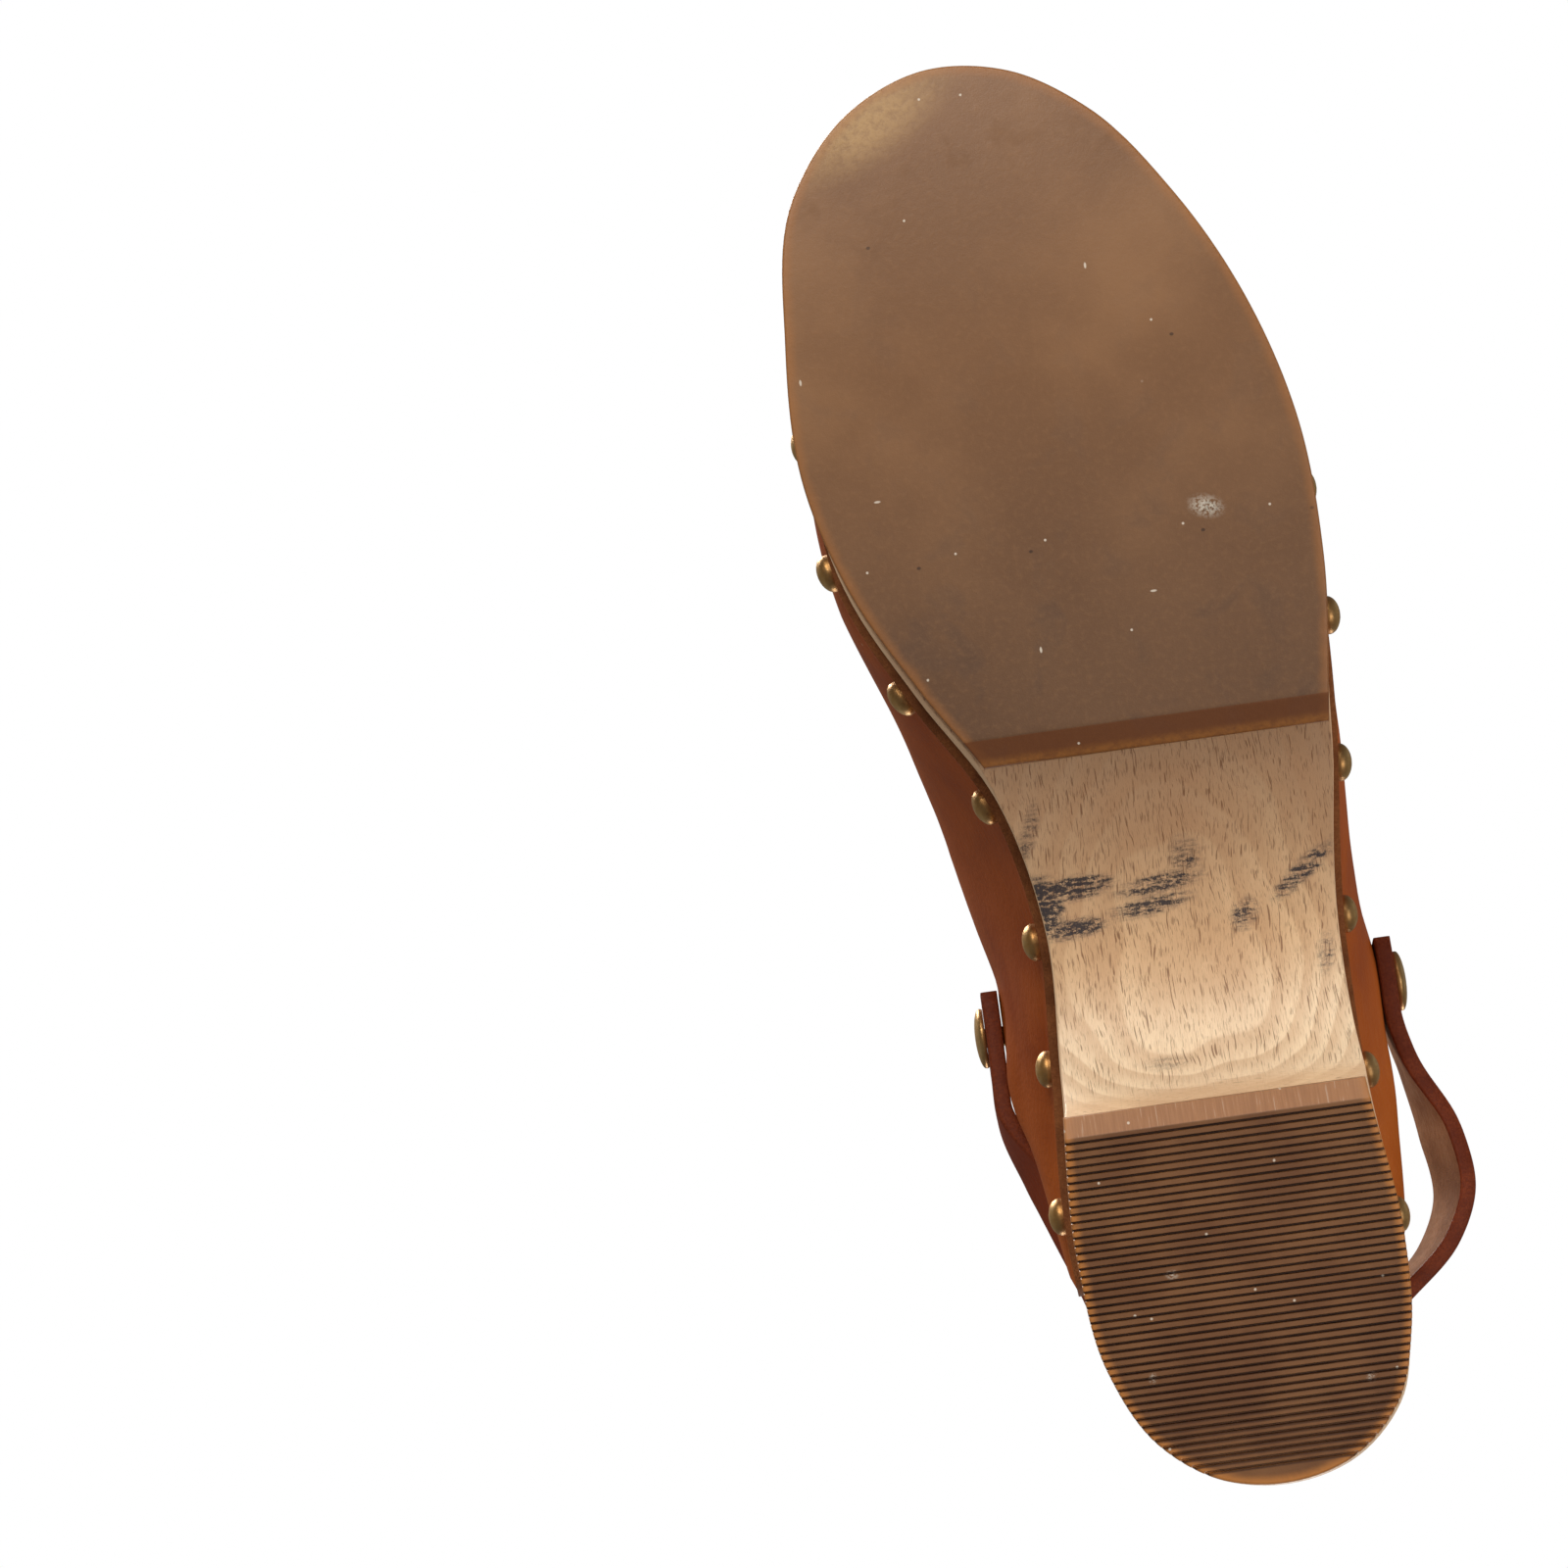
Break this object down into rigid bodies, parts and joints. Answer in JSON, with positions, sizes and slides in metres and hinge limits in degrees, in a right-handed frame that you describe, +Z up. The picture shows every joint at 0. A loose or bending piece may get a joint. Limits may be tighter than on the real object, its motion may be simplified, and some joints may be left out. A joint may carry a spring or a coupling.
{
  "type": "wooden clog",
  "caption": "Heeled left-foot clog: one-piece beech base with rubber treads, nailed closed-toe leather upper and a heel strap that swivels on two rivets.",
  "frame": {"origin": "on the ground under the middle of the clog's bounding box", "axes": "+Z up from the ground, -Y towards the toe, +X towards the outer side of the left foot"},
  "size_m": [0.1095, 0.2638, 0.1026],
  "materials": {
    "beech_wood": "bare sanded beech, matt",
    "gum_rubber": "smooth moulded gum rubber, satin",
    "gum_rubber_ribbed": "gum rubber with fine cross ridges, satin",
    "cognac_leather": "smooth vegetable-tanned leather, satin",
    "strap_leather": "smooth leather band, flesh side inside, dark painted edges",
    "brass": "antique brass, satin"
  },
  "bodies": {
    "clog": {"wooden_base": "beech_wood", "forefoot_outsole": "gum_rubber", "heel_top_piece": "gum_rubber_ribbed", "leather_upper": "cognac_leather", "strap_rivet_outer": "brass", "strap_rivet_inner": "brass", "rivet_back_outer": "brass", "rivet_back_inner": "brass", "upper_nail_01": "brass", "upper_nail_02": "brass", "upper_nail_03": "brass", "upper_nail_04": "brass", "upper_nail_05": "brass", "upper_nail_06": "brass", "upper_nail_07": "brass", "upper_nail_08": "brass", "upper_nail_09": "brass", "upper_nail_10": "brass", "upper_nail_11": "brass", "upper_nail_12": "brass", "upper_nail_13": "brass", "upper_nail_14": "brass", "upper_nail_15": "brass", "upper_nail_16": "brass", "upper_nail_17": "brass", "upper_nail_18": "brass", "upper_nail_19": "brass", "upper_nail_20": "brass"},
    "strap": {"heel_strap": "strap_leather"}
  },
  "joints": [
    {"name": "strap_swivel", "type": "hinge", "parent": "clog", "child": "strap", "pos_m": [0.00596, 0.04723, 0.088], "axis": [1, 0, 0], "range_deg": [0, 98]}
  ]
}
